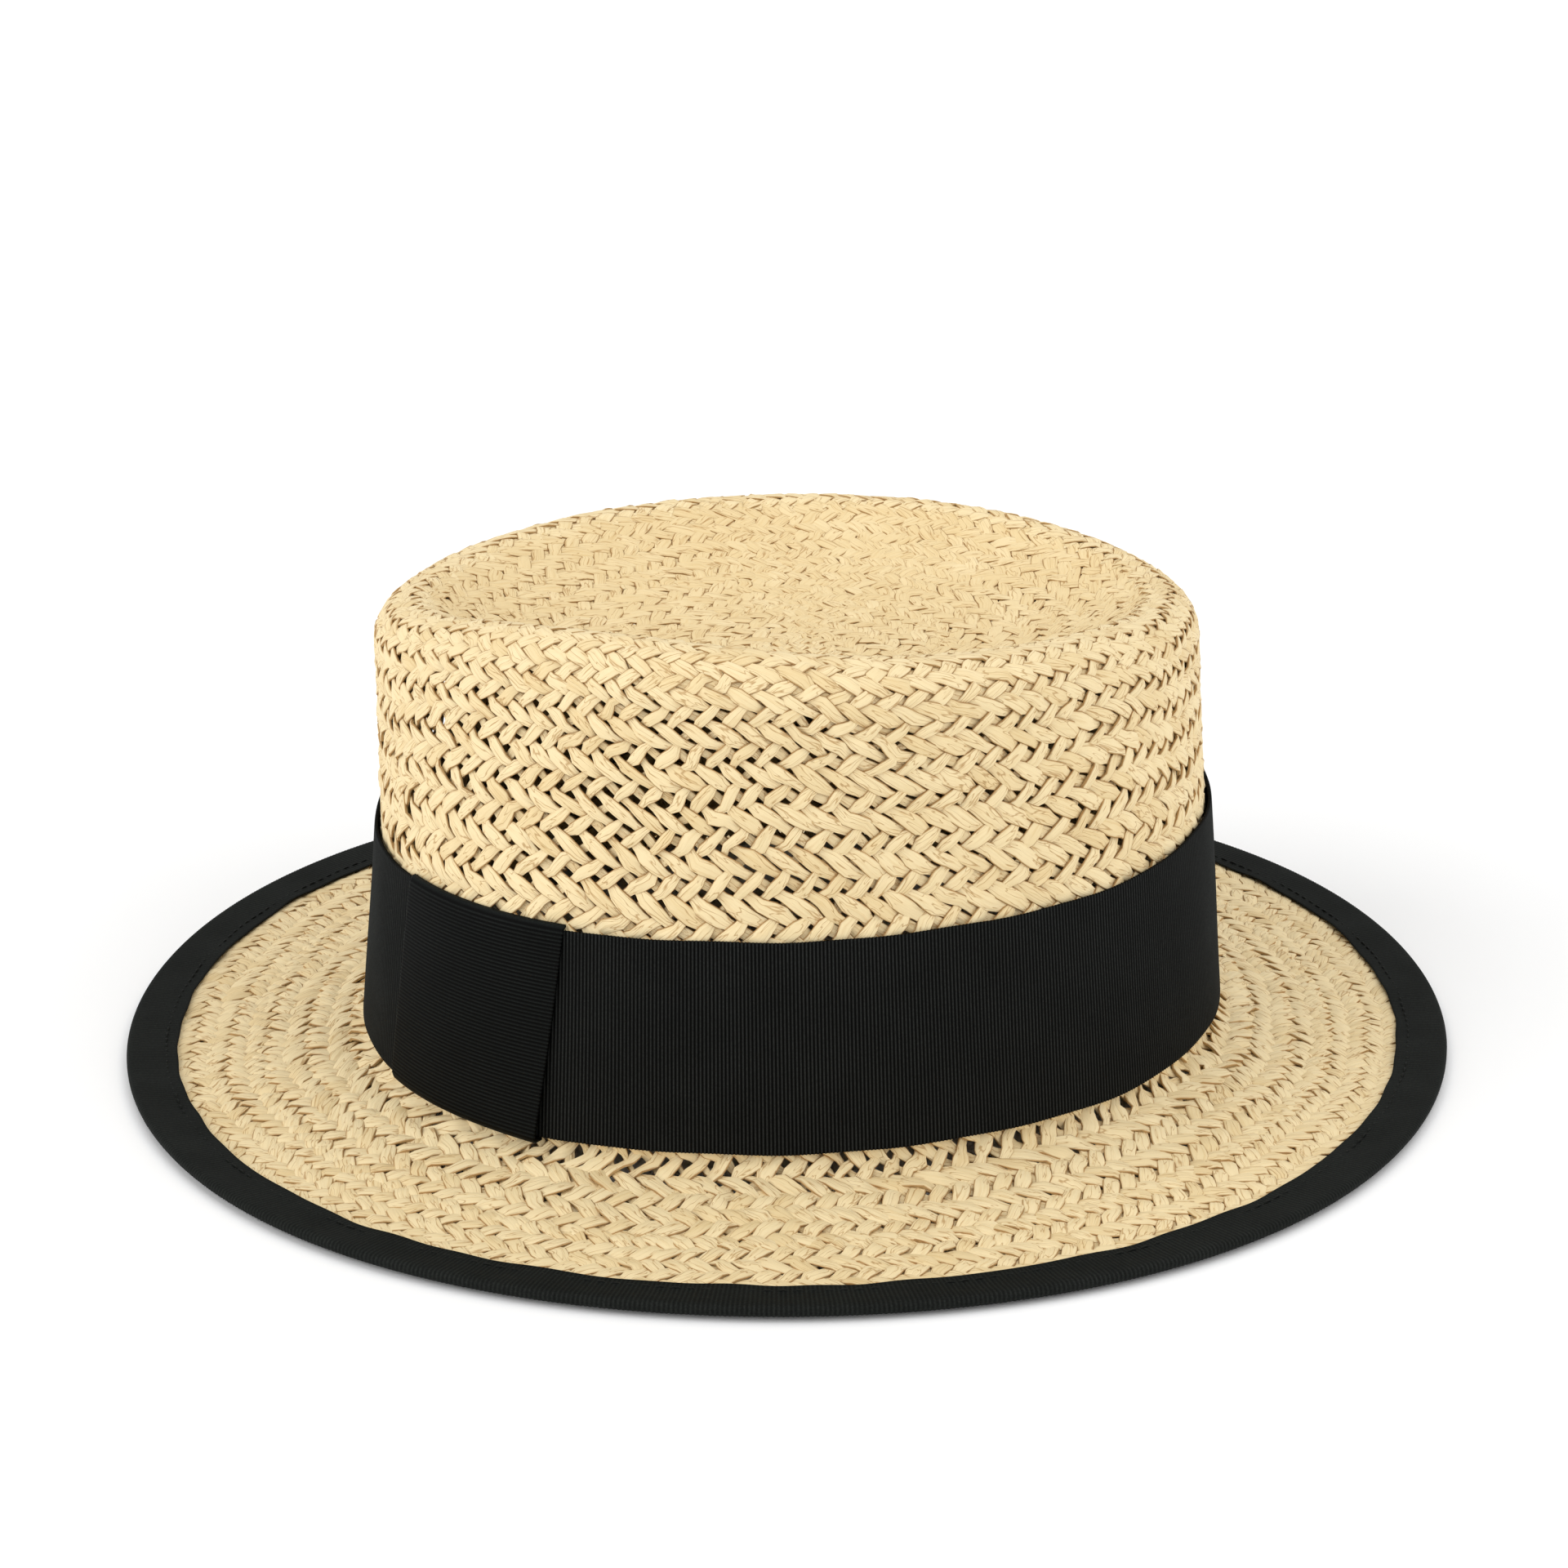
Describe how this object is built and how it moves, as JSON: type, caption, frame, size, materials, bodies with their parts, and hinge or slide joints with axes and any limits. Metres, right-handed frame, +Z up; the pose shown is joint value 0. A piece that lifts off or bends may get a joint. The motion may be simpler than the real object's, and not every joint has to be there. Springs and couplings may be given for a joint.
{
  "type": "straw hat with a ribbon band",
  "caption": "Woven straw hat with a sunken oval crown top, a flat bound brim, and a wide ribbed ribbon band joined under a ribbon wrap.",
  "frame": {"origin": "on the floor under the middle of the brim, which rests flat", "axes": "+Z up out of the crown, -Y to the front, +X to the wearer's left, with the band's wrap at the back, at +Y"},
  "size_m": [0.286, 0.2972, 0.1154],
  "materials": {
    "straw": "woven twisted paper straw in natural cream, matt",
    "band_ribbon": "black grosgrain ribbon with upright ribs",
    "wrap_ribbon": "black grosgrain ribbon with level ribs",
    "binding_ribbon": "black ribbed binding ribbon, stitched"
  },
  "bodies": {
    "root": {"straw_body": "straw", "hat_band": "band_ribbon", "band_wrap": "wrap_ribbon", "brim_binding": "binding_ribbon"}
  },
  "joints": []
}
